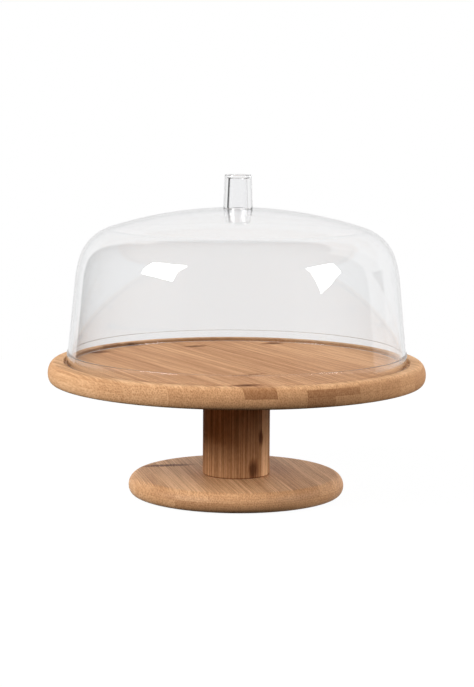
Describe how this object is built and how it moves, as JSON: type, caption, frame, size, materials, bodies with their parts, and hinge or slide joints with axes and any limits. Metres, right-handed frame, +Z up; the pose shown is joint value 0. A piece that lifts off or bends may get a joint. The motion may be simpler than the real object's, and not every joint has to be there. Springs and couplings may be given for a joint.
{
  "type": "cheese dome",
  "caption": "Clear round dome with a small knob that lifts off the recessed plate of a bamboo pedestal stand, for covering and serving cheese or cake.",
  "frame": {"origin": "centre of the circle of pads, on the surface that the stand rests on", "axes": "+Z up the column, through the knob of the dome; the part is round, so +X and +Y only place the pads and dowels"},
  "size_m": [0.3, 0.3, 0.2549],
  "materials": {
    "plate_bamboo": "oiled satin bamboo board",
    "column_bamboo": "oiled satin bamboo, upright grain",
    "base_bamboo": "oiled satin bamboo board",
    "dome_acrylic": "clear polished acrylic",
    "knob_acrylic": "clear polished acrylic",
    "insert_brass": "plain brass",
    "fixing_steel": "bright zinc plated steel",
    "dowel_beech": "plain beech",
    "pad_rubber": "matt silicone rubber"
  },
  "bodies": {
    "stand": {"serving_plate": "plate_bamboo", "plate_insert": "insert_brass", "plate_stud": "fixing_steel", "pedestal_column": "column_bamboo", "base_dowel_1": "dowel_beech", "base_dowel_2": "dowel_beech", "base_screw": "fixing_steel", "base_washer": "fixing_steel", "base_disc": "base_bamboo", "foot_pad_1": "pad_rubber", "foot_pad_2": "pad_rubber", "foot_pad_3": "pad_rubber", "foot_pad_4": "pad_rubber"},
    "dome": {"dome_shell": "dome_acrylic", "dome_knob": "knob_acrylic"}
  },
  "joints": [
    {"name": "dome_lift", "type": "slide", "parent": "stand", "child": "dome", "axis": [0, 0, 1], "range_m": [0, 0.2]}
  ]
}
